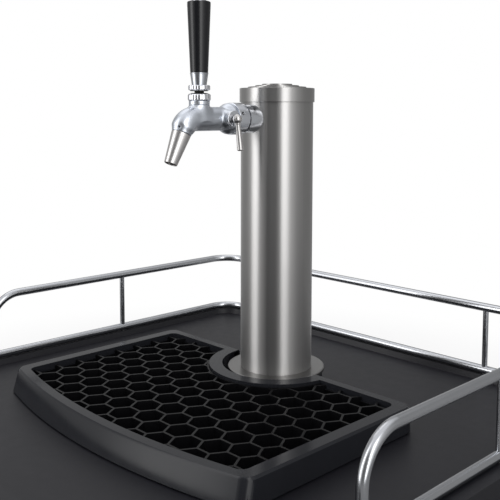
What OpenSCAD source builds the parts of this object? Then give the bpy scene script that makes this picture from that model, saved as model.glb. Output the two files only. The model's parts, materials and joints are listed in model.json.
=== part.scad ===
// Beer tap tower with one flow-control faucet and a honeycomb drip tray, on a worktop with a guard rail.
// Millimetres, +Z up, origin under the middle of the worktop. The front is -Y, where the spout points.

/* [Worktop] */
// Width of the worktop
top_w = 570; // [520:1:640]
// Depth of the worktop
top_d = 540; // [510:1:620]
// Height of the flat surface above the underside
top_h = 34; // [30:1:46]
// Thickness of the moulded plate, skirt and boss
top_t = 3.5; // [2.5:0.5:4.5]
// Outer corner radius of the worktop
top_r = 46; // [38:1:60]
// Height of the raised edge lip above the surface
lip_h = 6; // [4:0.5:9]
// Width of the top of the raised edge lip
lip_w = 20.5; // [18:0.5:26]
// Width of the slope at the inner foot of the lip
lip_slope = 3; // [1:0.5:6]
// Distance from the back edge to the tower's axis
tower_back = 191; // [170:1:215]
// Radius of the round boss under the tower
boss_r = 50; // [48:0.5:54]
// Height of the boss above the surface
boss_h = 17; // [14:0.5:24]

/* [Guard rail] */
// Diameter of the rail bars
rail_d = 9; // [7:0.5:11]
// Distance from the worktop's edge to the rail's centre line
rail_inset = 16; // [14:0.5:17]
// Height of the upper bar's centre line above the surface
rail_h = 80.4; // [62:0.2:110]
// Length of the rail's sides, from the back bar's centre line to the front legs
rail_len = 370.5; // [300:0.5:440]
// Corner radius of the bars seen from above, on the centre line
rail_corner_r = 30; // [20:1:40]
// Radius of the bend where the upper bar turns down, on the centre line
rail_bend_r = 36; // [20:1:44]
// Diameter of the posts between the bars
post_d = 6; // [4:0.5:8]
// Distance of the side posts in front of the back bar's centre line
side_post = 188; // [120:1:240]
// Distance of the back posts from the middle
back_post = 150; // [100:1:200]

/* [Drip tray] */
// Width of the tray across its rim
tray_w = 354; // [330:1:420]
// Distance from the tower's axis to the middle of the tray's front edge
tray_front = 234; // [215:1:250]
// Distance of the tray's back edge behind the tower's axis
tray_back = 1; // [0:0.5:6]
// Height of the rim above the worktop's surface
tray_h = 24; // [21:0.5:32]
// Radius of the bow of the tray's front edge
tray_bow_r = 700; // [500:10:1400]
// Width of the flat rim at the front and back
rim_w = 11; // [8:0.5:14]
// Width of the flat rim at the sides
rim_side_w = 14; // [10:0.5:18]
// How far the front wall slopes out towards its foot
front_flare = 6; // [2:0.5:9]
// How far the side walls slope out towards their foot
side_flare = 1.5; // [0.5:0.5:4]
// Wall thickness of the tray
tray_t = 2.2; // [1.6:0.2:3]
// Inner radius of the ring round the tower
notch_r = 58; // [56:0.5:62]
// Outer radius of the ring round the tower
ring_r = 72; // [69:0.5:76]

/* [Grid] */
// Distance between the middles of neighbouring cells
cell_pitch = 25.6; // [20:0.1:32]
// Thickness of the honeycomb walls
cell_wall = 2.1; // [1.6:0.1:3]
// Height of the grid
grid_h = 12; // [8:0.5:13]
// How far the grid lies below the rim
grid_drop = 3; // [2:0.5:4]

/* [Tower] */
// Diameter of the tower's column
col_d = 76.2; // [72:0.1:80]
// Height of the column above the top of its flange
col_h = 295; // [240:1:360]
// Wall thickness of the column
col_t = 1.5; // [1:0.1:2]
// Radius of the base flange
flange_r = 52; // [51:0.5:55]
// Thickness of the base flange
flange_t = 3; // [2:0.2:5]
// Height of the cap's skirt
cap_h = 14.5; // [10:0.5:17]
// Distance from the top of the column down to the faucet's axis
tap_drop = 30; // [29:0.5:60]

/* [Faucet] */
// Radius of the faucet's barrel
barrel_r = 11.6; // [11:0.1:12.4]
// Distance from the tower's axis to the tap handle's axis
neck_out = 107; // [105:0.5:110]
// Distance from the tower's axis to the middle of the joint of body and spout
joint_out = 129.5; // [127:0.5:133]
// Distance of that joint below the faucet's axis
joint_drop = 13.8; // [12:0.2:17]
// Angle of the spout from the vertical
spout_tilt = 24.6; // [18:0.2:30]
// Length of the spout
spout_len = 30.8; // [24:0.2:45]
// Radius of the spout at its top
spout_top_r = 9.4; // [9.2:0.1:10]
// Radius of the spout at its tip
spout_tip_r = 6.3; // [6:0.1:8]
// Radius of the coupling nut
nut_r = 16; // [15.6:0.1:18]
// Distance of the flow lever's ball from the middle plane
ball_x = 22.2; // [21:0.2:25]
// Length of the flow lever below the middle of its ball
stick_len = 31; // [22:0.5:40]
// Angle of the flow lever from the vertical, its end towards the tower
stick_tilt = 7.5; // [0:0.5:20]

/* [Tap handle] */
// Length of the handle's black grip
grip_len = 67.2; // [50:0.5:120]
// Radius of the grip at its foot
grip_foot_r = 8.4; // [7.4:0.1:9.5]
// Radius of the grip at its top
grip_top_r = 11.2; // [9.5:0.05:15]
// Length of the ferrule under the grip
ferrule_len = 11.7; // [8:0.1:18]
// Radius of the ring nut under the ferrule
lever_nut_r = 10.5; // [9:0.1:10.8]

/* [Hidden] */
$fn = 64;
over = 1;
hull_fn = 32;
fit = 0.05;
slip = 0.35;
skin = 0.01;

// heights
lip_top = top_h + lip_h;
boss_top = top_h + boss_h;
tower_y = top_d/2 - tower_back;
col_r = col_d/2;
gasket_t = 1.2;
flange_z = boss_top + gasket_t;
col_top = flange_z + flange_t + col_h;
tap_z = col_top - tap_drop;

// worktop details
screw_post_r = 7;
screw_hole_r = 2.2;
screw_inset = 60;
line_hole_r = 22;

// rail
rail_r = rail_d/2;
rail_x = top_w/2 - rail_inset;
rail_y = top_d/2 - rail_inset;
rail_seat = 0.3;
rail_low_z = lip_top + rail_seat + rail_r;
rail_up_z = top_h + rail_h;
leg_y = rail_y - rail_len;
post_r = post_d/2;
stud_r = 2.5;
stud_hole_r = 2.75;
rail_stud_len = 22;
m5_washer_r = 5;
m5_washer_t = 1;
m5_nut_af = 8;
m5_nut_h = 4;
post_spots = [[rail_x, rail_y - side_post], [-rail_x, rail_y - side_post],
    [back_post, rail_y], [-back_post, rail_y]];
leg_spots = [[rail_x, leg_y], [-rail_x, leg_y]];

// tower fastening
tower_stud_pcd_r = 41;
tower_stud_len = 16;
plate_r = 45;
plate_t = 2;
gasket_in_r = 37;
grommet_lip_t = 2;
grommet_lip_r = 25;
plate_hole_r = 26;
foam_gap = 0.3;
foam_bore_r = 15;
foam_top_gap = 22;
flange_edge_r = 1.2;
cap_gap = 0.3;
cap_wall = 1;
cap_t = 1.6;
cap_step_h = 1.5;
cap_step_shares = [0.78, 0.585, 0.405];
seal_h = 6;
seal_w = 2.5;

// tray
foot_h = 1.5;
foot_r = 6;
foot_x_share = 0.4;
foot_y_shares = [0.22, 0.82];
tray_corner_r = 12;
basin_corner_r = 8;
rim_round = 2;
rim_top = top_h + tray_h;
tray_foot = top_h + foot_h;
basin_w = tray_w - 2*rim_side_w;
basin_front = tray_front - rim_w;
basin_back = tray_back - rim_w;
full_turn = 360;
front_turn = full_turn + 180;
arc_steps = 8;
bow_steps = 32;
grid_gap = 0.6;
grid_top = rim_top - grid_drop;
border_t = 1.6;
border_drop = 4;
cell_first = 19.1;
ledge_w = 1.8;
ledge_z = grid_top - grid_h;
cell_r = (cell_pitch - cell_wall)/2/cos(30);
col_step = cell_pitch*cos(30);

// shank and what hangs on it, all distances are from the tower's axis
collar_proj = 13.2;
collar_out = col_r + collar_proj;
collar_r = 14.6;
nut_gap = 3;
nut_back = collar_out + nut_gap;
nut_len = 13.2;
nut_front = nut_back + nut_len;
nut_lip = 3.3;
nut_chamfer = 1;
nut_hole_r = 1.7;
nut_hole_out = 62.8;
nut_hole_turns = [20, 140, 260];
shank_r = 11.1;
shank_bore_r = 4;
shank_flange_r = 13.6;
shank_flange_t = 3.8;
shank_front = nut_back + nut_lip + shank_flange_t;
shank_back = 16;
shank_nut_af = 27;
shank_nut_front = 30;
shank_nut_len = 8;
shank_washer_r = 15.5;
tail_washer_t = 1.5;
tail_flange_r = 9.5;
tail_flange_t = 2.5;
tail_tube_r = 4.6;
tail_bore_r = 1.8;
tail_bend_r = 8;
tail_drop = 16;
barb_r = 2.45;
barb_len = 18;
tail_nut_len = 12;
tail_nut_lip = 2.8;
tail_nut_back = shank_back - tail_washer_t - tail_flange_t - tail_nut_lip;
line_r = 5.5;
line_bore_r = 2.5;
clamp_r = 6.9;
clamp_h = 7;
union_z = 20;
union_hex_h = 5;
union_hex_af = 14;
union_barb_len = 16;

// faucet body, distances along the barrel are from the tower's axis
washer_t = 1.5;
body_back = shank_front + washer_t;
thread_r = 14.2;
bulb_back = nut_front + slip;
bulb_r = 15.3;
bulb_len = 4.3;
bulb_taper_len = 7.2;
barrel_bore_r = 7.6;
elbow_bore_r = 5.6;
elbow_cone_len = 6.5;
elbow_turn = 90 - spout_tilt;
elbow_r = (joint_drop - elbow_cone_len*cos(spout_tilt))/(1 - cos(elbow_turn));
elbow_start = joint_out - elbow_cone_len*sin(spout_tilt) - elbow_r*sin(elbow_turn);
seat_land = 0.6;
seat_out = elbow_start - seat_land;
spigot_r = 6.4;
spigot_len = 7.5;
vent_r = 1.3;
vent_turn = 73;
vent_roll = 32;
neck_r = 9.8;
neck_h = 13.4;
neck_ring_r = 10.05;
neck_ring_h = 3.8;
neck_thread_r = 9.3;
neck_thread_h = 3.4;
neck_bore_r = 7;
cavity_r = 8.2;

// valve, heights are above the faucet's axis
pivot_h = 17.8;
ball_r = 6.9;
ball_gap = 0.3;
arm_r = 2;
arm_tip_r = 2.2;
stem_r = 3.6;
stem_thread_r = 4.75;
stem_thread_from = 9.1;
stem_in_grip = 18;
seat_ring_r = 8.1;
seat_ring_hole_r = 5.3;
seat_ring_low = 6;
seat_ring_high = 2.6;
grip_ring_low = 0.8;
grip_ring_high = 2.9;
grip_ring_hole_r = 5.8;
bonnet_r = 11;
bonnet_hole_r = 7.3;
bonnet_edge_h = 5;
bonnet_top_h = 6.9;
bonnet_top_r = 8;
boot_r = 4.6;
boot_low = 5.2;
boot_disc_r = 8.6;
boot_disc_low = 8.8;
boot_top = 9.4;
lever_nut_h = 5;
stem_end_h = boot_top + lever_nut_h + ferrule_len + stem_in_grip;
ferrule_foot_r = 7.2;
ferrule_top_r = 8.8;
insert_r = 6.4;
insert_len = 20;
button_r = 6.9;
button_depth = 2;
button_h = 2.4;
plunger_r = 5;
plunger_tail = 9.5;
plunger_back = neck_out - plunger_tail;
seat_gap = 0.8;
plunger_front = seat_out - seat_gap;
plunger_head_r = 6.9;
plunger_head_t = 3.2;
plunger_ring_r = 0.9;
slot_low = 3;
slot_step = 1.5;
slot_wide = 4.8;
slot_half_x = 2.9;

// flow control
flow_out = 77.8;
housing_foot_r = 9.4;
housing_top_r = 8.1;
housing_x = 15.5;
housing_from = 6;
flow_stem_r = 2.85;
gland_r = 5.2;
gland_depth = 3;
gland_ring_r = 1.05;
flow_collar_r = 8.1;
flow_collar_t = 2.4;
flow_collar_bore_r = 5.2;
flow_ball_r = 4.6;
flow_stem_end = 3;
pin_r = 1.2;
pin_throw = 1.5;
pin_angle = 45;
pin_end = -2.5;
stick_top_r = 2.4;
stick_end_r = 3.2;
cone_r = 7.2;
cone_front = 88;
cone_taper = 72;
cone_back = 65;
cone_tip_r = 2.8;
flute_r = 2;
cone_travel = 2*pin_throw*sin(pin_angle);

// places
module at_tower(z = 0) translate([0, tower_y, z]) children();
module at_tap() at_tower(tap_z) children();
module at_pivot() at_tap() translate([0, -neck_out, pivot_h]) children();
module at_flow() at_tap() translate([0, -flow_out, 0]) children();
module at_spout() at_tap() translate([0, -joint_out, -joint_drop]) rotate([-spout_tilt, 0, 0]) children();
module both_sides() {
    children();
    mirror([1, 0, 0]) children();
}

// shapes
module ring(r, bore, h) difference() {
    cylinder(r = r, h = h);
    translate([0, 0, -over]) cylinder(r = bore, h = h + 2*over);
}
module hex_nut(af, bore, h) difference() {
    cylinder(r = af/2/cos(30), h = h, $fn = 6);
    translate([0, 0, -over]) cylinder(r = bore, h = h + 2*over);
}
// a rod along -Y between two distances from the tower's axis
module rod(r, from, to) translate([0, -from, 0]) rotate([90, 0, 0]) cylinder(r = r, h = to - from);
module taper(r_from, r_to, from, to)
    translate([0, -from, 0]) rotate([90, 0, 0]) cylinder(r1 = r_from, r2 = r_to, h = to - from);
module torus(major, minor) rotate_extrude() translate([major, 0]) circle(r = minor);
module rounded_slab(w, d, r, low, high) translate([0, 0, low]) {
    translate([-w/2 + r, -d/2, 0]) cube([w - 2*r, d, high - low]);
    translate([-w/2, -d/2 + r, 0]) cube([w, d - 2*r, high - low]);
    for (x = [-1, 1], y = [-1, 1])
        translate([x*(w/2 - r), y*(d/2 - r), 0]) cylinder(r = r, h = high - low);
}

// outline of the tray: straight back and sides, bowed front, round corners
function bow_y(front, bow) = bow - front;
function corner_y(w, front, bow, r) = bow_y(front, bow) - sqrt(pow(bow - r, 2) - pow(w/2 - r, 2));
function corner_turn(w, front, bow, r) =
    full_turn + atan2(corner_y(w, front, bow, r) - bow_y(front, bow), r - w/2);
function arc_points(x, y, r, from, to, steps) =
    [for (i = [0 : steps]) let (a = from + (to - from)*i/steps) [x + r*cos(a), y + r*sin(a)]];
function tray_points(w, back, front, bow, r) = let (
        cy = corner_y(w, front, bow, r), turn = corner_turn(w, front, bow, r), x = w/2 - r)
    concat(
        arc_points(x, back - r, r, 0, 90, arc_steps),
        arc_points(-x, back - r, r, 90, 180, arc_steps),
        arc_points(-x, cy, r, 180, turn, arc_steps),
        [for (i = [1 : bow_steps - 1]) let (a = turn + (front_turn - 2*turn)*i/bow_steps)
            [bow*cos(a), bow_y(front, bow) + bow*sin(a)]],
        arc_points(x, cy, r, front_turn - turn, full_turn, arc_steps));
module tray_outline(grow, r) polygon(tray_points(tray_w + 2*grow, tray_back + grow, tray_front + grow,
    tray_bow_r + grow, r + grow));
module basin_outline(grow) polygon(tray_points(basin_w + 2*grow, basin_back + grow, basin_front + grow,
    tray_bow_r - rim_w + grow, basin_corner_r + grow));

// worktop
module lip_basin() hull() {
    rounded_slab(top_w - 2*lip_w - 2*lip_slope, top_d - 2*lip_w - 2*lip_slope, top_r - lip_w - lip_slope,
        top_h, top_h + skin, $fn = hull_fn);
    rounded_slab(top_w - 2*lip_w, top_d - 2*lip_w, top_r - lip_w, lip_top, lip_top + over, $fn = hull_fn);
}
module worktop_shell() difference() {
    rounded_slab(top_w, top_d, top_r, 0, lip_top);
    lip_basin();
    rounded_slab(top_w - 2*top_t, top_d - 2*top_t, top_r - top_t, -over, top_h - top_t);
}
module screw_spots()
    for (x = [-1, 1], y = [-1, 1])
        translate([x*(top_w/2 - screw_inset), y*(top_d/2 - screw_inset), 0]) children();
module tower_stud_spots()
    for (a = [45 : 90 : 315]) rotate([0, 0, a]) translate([tower_stud_pcd_r, 0, 0]) children();
module worktop() color("#3c3d41") difference() {
    union() {
        worktop_shell();
        at_tower(top_h - top_t) cylinder(r = boss_r, h = boss_h + top_t);
        screw_spots() cylinder(r = screw_post_r, h = top_h - top_t/2);
    }
    at_tower(-over) cylinder(r = boss_r - top_t, h = boss_top - top_t + over);
    at_tower() cylinder(r = line_hole_r, h = boss_top + over);
    at_tower() tower_stud_spots() cylinder(r = stud_hole_r, h = boss_top + over);
    screw_spots() translate([0, 0, -over]) cylinder(r = screw_hole_r, h = top_h - 2*top_t + over);
    for (p = concat(post_spots, leg_spots))
        translate([p[0], p[1], top_h/2]) cylinder(r = stud_hole_r, h = lip_top);
}

// guard rail
module bar_corner(z) translate([rail_x - rail_corner_r, rail_y - rail_corner_r, z])
    rotate_extrude(angle = 90) translate([rail_corner_r, 0]) circle(r = rail_r);
module bar_back(z) translate([-rail_x + rail_corner_r, rail_y, z])
    rotate([0, 90, 0]) cylinder(r = rail_r, h = 2*(rail_x - rail_corner_r));
module bar_side(z, front) translate([rail_x, rail_y - rail_corner_r, z])
    rotate([90, 0, 0]) cylinder(r = rail_r, h = rail_y - rail_corner_r - front);
module rail_upper() color("#c9ccd0") {
    bar_back(rail_up_z);
    both_sides() {
        bar_corner(rail_up_z);
        bar_side(rail_up_z, leg_y + rail_bend_r);
        translate([rail_x, leg_y + rail_bend_r, rail_up_z - rail_bend_r]) rotate([0, -90, 0])
            rotate([0, 0, -90]) rotate_extrude(angle = 90) translate([rail_bend_r, 0]) circle(r = rail_r);
        translate([rail_x, leg_y, lip_top]) cylinder(r = rail_r, h = rail_up_z - rail_bend_r - lip_top);
    }
}
module rail_lower() color("#c9ccd0") difference() {
    union() {
        bar_back(rail_low_z);
        both_sides() {
            bar_corner(rail_low_z);
            bar_side(rail_low_z, leg_y);
        }
    }
    both_sides() translate([rail_x, leg_y, top_h]) cylinder(r = rail_r + fit, h = rail_h);
}
module bar_along(p, z, r) translate([p[0], p[1], z])
    rotate(abs(p[0]) == rail_x ? [90, 0, 0] : [0, 90, 0])
        translate([0, 0, -2*rail_r]) cylinder(r = r, h = 4*rail_r);
module rail_posts() color("#c9ccd0")
    for (p = post_spots) difference() {
        translate([p[0], p[1], rail_low_z]) cylinder(r = post_r, h = rail_up_z - rail_low_z);
        bar_along(p, rail_low_z, rail_r + fit);
        bar_along(p, rail_up_z, rail_r + fit);
    }
module rail_studs() color("#9a9c9f") {
    for (p = post_spots) difference() {
        translate([p[0], p[1], lip_top - rail_stud_len])
            cylinder(r = stud_r, h = rail_stud_len + rail_low_z - lip_top);
        bar_along(p, rail_low_z, rail_r + fit);
    }
    for (p = leg_spots) translate([p[0], p[1], lip_top - rail_stud_len])
        cylinder(r = stud_r, h = rail_stud_len);
}
module rail_washers() color("#9a9c9f")
    for (p = concat(post_spots, leg_spots))
        translate([p[0], p[1], top_h - top_t - m5_washer_t]) ring(m5_washer_r, stud_r + fit, m5_washer_t);
module rail_nuts() color("#9a9c9f")
    for (p = concat(post_spots, leg_spots))
        translate([p[0], p[1], top_h - top_t - m5_washer_t - m5_nut_h])
            hex_nut(m5_nut_af, stud_r + fit, m5_nut_h);

// drip tray
module tray_hollow() difference() {
    tray_outline(-tray_t, tray_corner_r);
    basin_outline(tray_t);
}
module tray_band_hollow() difference() {
    intersection() {
        basin_outline(tray_t + over);
        circle(r = ring_r - tray_t);
    }
    circle(r = notch_r + tray_t);
}
module drip_tray() color("#2f3033") at_tower() difference() {
    hull() {
        translate([0, 0, tray_foot])
            linear_extrude(height = skin)
                polygon(tray_points(tray_w + 2*side_flare, tray_back, tray_front + front_flare,
                    tray_bow_r, tray_corner_r));
        translate([0, 0, rim_top - rim_round]) linear_extrude(height = skin) tray_outline(0, tray_corner_r);
        translate([0, 0, rim_top - skin]) linear_extrude(height = skin)
            tray_outline(-rim_round, tray_corner_r);
    }
    difference() {
        union() {
            translate([0, 0, ledge_z]) linear_extrude(height = tray_h) basin_outline(0);
            translate([0, 0, tray_foot + tray_t]) linear_extrude(height = tray_h) basin_outline(-ledge_w);
        }
        cylinder(r = ring_r, h = rim_top + over);
    }
    translate([0, 0, tray_foot - over]) linear_extrude(height = tray_h - foot_h - tray_t + over) {
        tray_hollow();
        tray_band_hollow();
    }
    cylinder(r = notch_r, h = rim_top + over);
}
module tray_feet() color("#1b1b1c") at_tower(top_h)
    for (x = [-1, 1], s = foot_y_shares)
        translate([x*foot_x_share*tray_w, -s*tray_front, 0]) cylinder(r = foot_r, h = foot_h);

// grid
function cell_y(i, j) = -cell_first - cell_pitch*(j - (abs(i) % 2)/2);
module grid_outline(shrink) difference() {
    basin_outline(-grid_gap - shrink);
    circle(r = ring_r + grid_gap);
}
module cells()
    for (i = [-ceil(basin_w/2/col_step) : ceil(basin_w/2/col_step)], j = [0 : ceil(tray_front/cell_pitch)])
        translate([i*col_step, cell_y(i, j)]) circle(r = cell_r, $fn = 6);
module drip_grid() color("#1c1d1e") at_tower() {
    translate([0, 0, ledge_z]) linear_extrude(height = grid_h) difference() {
        grid_outline(0);
        cells();
    }
    translate([0, 0, ledge_z]) linear_extrude(height = grid_h - border_drop) difference() {
        grid_outline(0);
        basin_outline(-grid_gap - border_t);
    }
    translate([0, 0, ledge_z]) linear_extrude(height = grid_h) difference() {
        intersection() {
            basin_outline(-grid_gap);
            circle(r = ring_r + grid_gap + border_t);
        }
        circle(r = ring_r + grid_gap);
    }
}

// tower
module tower_gasket() color("#1b1b1c") at_tower(boss_top) difference() {
    ring(boss_r, gasket_in_r, gasket_t);
    tower_stud_spots() translate([0, 0, -over]) cylinder(r = stud_r + fit, h = gasket_t + 2*over);
}
module tower_flange() color("#c4c1bb") at_tower(flange_z) rotate_extrude() {
    translate([col_r + fit, 0]) square([flange_r - col_r - fit - flange_edge_r, flange_t]);
    translate([col_r + fit, 0]) square([flange_r - col_r - fit, flange_t - flange_edge_r]);
    translate([flange_r - flange_edge_r, flange_t - flange_edge_r]) circle(r = flange_edge_r);
}
module tower_studs() color("#9a9c9f")
    at_tower(flange_z - tower_stud_len) tower_stud_spots() cylinder(r = stud_r, h = tower_stud_len);
module back_plate() color("#8d8f92") at_tower(boss_top - top_t - plate_t) difference() {
    ring(plate_r, plate_hole_r, plate_t);
    tower_stud_spots() translate([0, 0, -over]) cylinder(r = stud_hole_r, h = plate_t + 2*over);
}
module tower_washers() color("#9a9c9f") at_tower(boss_top - top_t - plate_t - m5_washer_t)
    tower_stud_spots() ring(m5_washer_r, stud_r + fit, m5_washer_t);
module tower_nuts() color("#9a9c9f") at_tower(boss_top - top_t - plate_t - m5_washer_t - m5_nut_h)
    tower_stud_spots() hex_nut(m5_nut_af, stud_r + fit, m5_nut_h);
module tower_column() color("#a8a49d") difference() {
    at_tower(flange_z) ring(col_r, col_r - col_t, flange_t + col_h);
    at_tap() rod(shank_r + fit, 0, collar_out);
}
module tower_foam() color("#d8d5cb") at_tower(boss_top + grommet_lip_t)
    ring(col_r - col_t - foam_gap, foam_bore_r, tap_z - foam_top_gap - boss_top - grommet_lip_t);
module tower_cap() color("#b4b0aa") at_tower(col_top) {
    translate([0, 0, cap_t - cap_h]) ring(col_r + cap_gap + cap_wall, col_r + cap_gap, cap_h);
    cylinder(r = col_r + cap_gap + cap_wall, h = cap_t);
    for (i = [0 : len(cap_step_shares) - 1])
        cylinder(r = cap_step_shares[i]*(col_r + cap_gap + cap_wall), h = cap_t + (i + 1)*cap_step_h);
}
module cap_seal() color("#1b1b1c") at_tower(col_top - seal_h)
    ring(col_r - col_t - cap_gap, col_r - col_t - cap_gap - seal_w, seal_h);

// shank and beer line
module shank() color("#b9bbbe") at_tap() difference() {
    union() {
        rod(shank_flange_r, shank_front - shank_flange_t, shank_front);
        rod(shank_r, shank_back, shank_front);
    }
    rod(shank_bore_r, shank_back - over, shank_front + over);
}
module shank_collar() color("#c9ccd0") difference() {
    at_tap() difference() {
        rod(collar_r, collar_out - 2*collar_proj, collar_out);
        rod(shank_r + fit, 0, collar_out + over);
    }
    at_tower() cylinder(r = col_r + fit, h = col_top);
}
module shank_washer() color("#8d8f92") intersection() {
    at_tap() difference() {
        rod(shank_washer_r, shank_nut_front, col_r);
        rod(shank_r + fit, 0, col_r + over);
    }
    at_tower() cylinder(r = col_r - col_t - fit, h = col_top);
}
module shank_nut() color("#b9bbbe") at_tap() translate([0, -shank_nut_front + shank_nut_len, 0])
    rotate([90, 0, 0]) hex_nut(shank_nut_af, shank_r + fit, shank_nut_len);
module tail_washer() color("#e6e3da") at_tap() translate([0, -shank_back + tail_washer_t, 0])
    rotate([90, 0, 0]) ring(tail_flange_r, shank_bore_r, tail_washer_t);
module tail_elbow() color("#b9bbbe") at_tap() difference() {
    union() {
        rod(tail_flange_r, shank_back - tail_washer_t - tail_flange_t, shank_back - tail_washer_t);
        rod(tail_tube_r, tail_bend_r, shank_back - tail_washer_t);
        translate([0, -tail_bend_r, -tail_bend_r]) rotate([0, -90, 0])
            rotate_extrude(angle = 90) translate([tail_bend_r, 0]) circle(r = tail_tube_r);
        translate([0, 0, -tail_drop]) cylinder(r = tail_tube_r, h = tail_drop - tail_bend_r);
        translate([0, 0, -tail_drop - barb_len]) cylinder(r = barb_r, h = barb_len);
    }
    rod(tail_bore_r, tail_bend_r, shank_back + over);
    translate([0, -tail_bend_r, -tail_bend_r]) rotate([0, -90, 0])
        rotate_extrude(angle = 90) translate([tail_bend_r, 0]) circle(r = tail_bore_r);
    translate([0, 0, -tail_drop - barb_len - over])
        cylinder(r = tail_bore_r, h = tail_drop + barb_len - tail_bend_r + over);
}
module tail_nut() color("#b9bbbe") at_tap() difference() {
    translate([0, -tail_nut_back, 0]) rotate([90, 0, 0])
        hex_nut(shank_nut_af, tail_tube_r + slip, tail_nut_len);
    rod(shank_r + fit, tail_nut_back + tail_nut_lip, tail_nut_back + tail_nut_len + over);
}
module beer_line() color("#d9d6cc") at_tower(union_z + union_hex_h)
    ring(line_r, line_bore_r, tap_z - tail_drop - union_z - union_hex_h);
module line_clamps() color("#9a9c9f")
    for (z = [union_z + union_hex_h + clamp_h/2, tap_z - tail_drop - 2*clamp_h])
        at_tower(z) ring(clamp_r, line_r + fit, clamp_h);
module line_union() color("#b9bbbe") at_tower() difference() {
    union() {
        translate([0, 0, union_z - union_barb_len])
            cylinder(r = barb_r, h = 2*union_barb_len + union_hex_h);
        translate([0, 0, union_z]) cylinder(r = union_hex_af/2/cos(30), h = union_hex_h, $fn = 6);
    }
    cylinder(r = tail_bore_r, h = boss_top);
}
module line_grommet() color("#1b1b1c") at_tower(boss_top - top_t - grommet_lip_t) difference() {
    union() {
        cylinder(r = grommet_lip_r, h = grommet_lip_t);
        cylinder(r = line_hole_r - fit, h = top_t + 2*grommet_lip_t);
        translate([0, 0, top_t + grommet_lip_t]) cylinder(r = grommet_lip_r, h = grommet_lip_t);
    }
    translate([0, 0, -over]) cylinder(r = line_r + slip, h = top_t + 2*grommet_lip_t + 2*over);
}

// faucet body
module faucet_washer() color("#1b1b1c") at_tap() difference() {
    rod(shank_flange_r, shank_front, body_back);
    rod(shank_bore_r, shank_front - over, body_back + over);
}
module coupling_nut() color("#c9ccd0") at_tap() difference() {
    union() {
        rod(nut_r - nut_chamfer, nut_back, nut_front);
        taper(nut_r - nut_chamfer, nut_r, nut_back, nut_back + nut_chamfer);
        rod(nut_r, nut_back + nut_chamfer, nut_front - nut_chamfer);
        taper(nut_r, nut_r - nut_chamfer, nut_front - nut_chamfer, nut_front);
    }
    rod(shank_r + slip, nut_back - over, nut_front);
    rod(thread_r + fit, nut_back + nut_lip, nut_front + over);
    for (a = nut_hole_turns) translate([0, -nut_hole_out, 0]) rotate([0, 90 - a, 0])
        cylinder(r = nut_hole_r, h = nut_r + over);
}
module elbow(r, turn) translate([0, -elbow_start, -elbow_r]) rotate([0, -90, 0]) mirror([0, 1, 0])
    rotate_extrude(angle = turn) translate([elbow_r, 0]) circle(r = r);
module faucet_outside() {
    rod(thread_r, body_back, bulb_back + over);
    rod(bulb_r, bulb_back, bulb_back + bulb_len);
    taper(bulb_r, barrel_r, bulb_back + bulb_len, bulb_back + bulb_len + bulb_taper_len);
    rod(barrel_r, bulb_back, elbow_start);
    elbow(barrel_r, elbow_turn);
    translate([0, -joint_out, -joint_drop]) rotate([-spout_tilt, 0, 0]) {
        cylinder(r1 = spout_top_r, r2 = barrel_r, h = elbow_cone_len);
        cylinder(r = spout_top_r, h = elbow_cone_len + over);
    }
    translate([0, -neck_out, 0]) {
        cylinder(r = neck_thread_r, h = neck_h + neck_ring_h + neck_thread_h);
        cylinder(r = neck_r, h = neck_h);
        translate([0, 0, neck_h]) cylinder(r = neck_ring_r, h = neck_ring_h);
    }
    translate([housing_from, -flow_out, 0]) rotate([0, 90, 0])
        cylinder(r1 = housing_foot_r, r2 = housing_top_r, h = housing_x - housing_from);
}
module faucet_body() color("#b4b8bd") at_tap() difference() {
    faucet_outside();
    rod(barrel_bore_r, body_back - over, seat_out);
    rod(elbow_bore_r, seat_out - over, elbow_start);
    elbow(elbow_bore_r, elbow_turn);
    translate([0, -joint_out, -joint_drop]) rotate([-spout_tilt, 0, 0])
        translate([0, 0, -over]) cylinder(r = spigot_r + fit, h = spigot_len + 2*over);
    translate([0, -neck_out, 0]) {
        cylinder(r = neck_bore_r, h = neck_h + neck_ring_h + neck_thread_h + over);
        translate([0, 0, pivot_h - seat_ring_low])
            cylinder(r = cavity_r, h = neck_h + neck_ring_h + neck_thread_h);
    }
    translate([0, -flow_out, 0]) rotate([0, 90, 0]) {
        cylinder(r = flow_stem_r + fit, h = housing_x + over);
        translate([0, 0, housing_x - gland_depth]) cylinder(r = gland_r, h = gland_depth + over);
    }
    translate([0, -elbow_start, -elbow_r]) rotate([vent_turn, 0, 0]) translate([0, 0, elbow_r])
        rotate([0, vent_roll, 0]) cylinder(r = vent_r, h = barrel_r + over);
}
module spout() color("#b7b2ab") at_spout() difference() {
    union() {
        translate([0, 0, -spout_len]) cylinder(r1 = spout_tip_r, r2 = spout_top_r, h = spout_len);
        cylinder(r = spigot_r, h = spigot_len);
    }
    translate([0, 0, -spout_len - over])
        cylinder(r = elbow_bore_r - slip, h = spout_len + spigot_len + 2*over);
    translate([0, 0, -plunger_ring_r]) torus(spigot_r + 2*plunger_ring_r, plunger_ring_r);
    translate([0, 0, -plunger_ring_r]) ring(spigot_r + 3*plunger_ring_r, spigot_r + plunger_ring_r, over);
}
module spout_ring() color("#1b1b1c") at_spout() translate([0, 0, -plunger_ring_r])
    torus(spigot_r + 2*plunger_ring_r, plunger_ring_r - fit);

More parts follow.
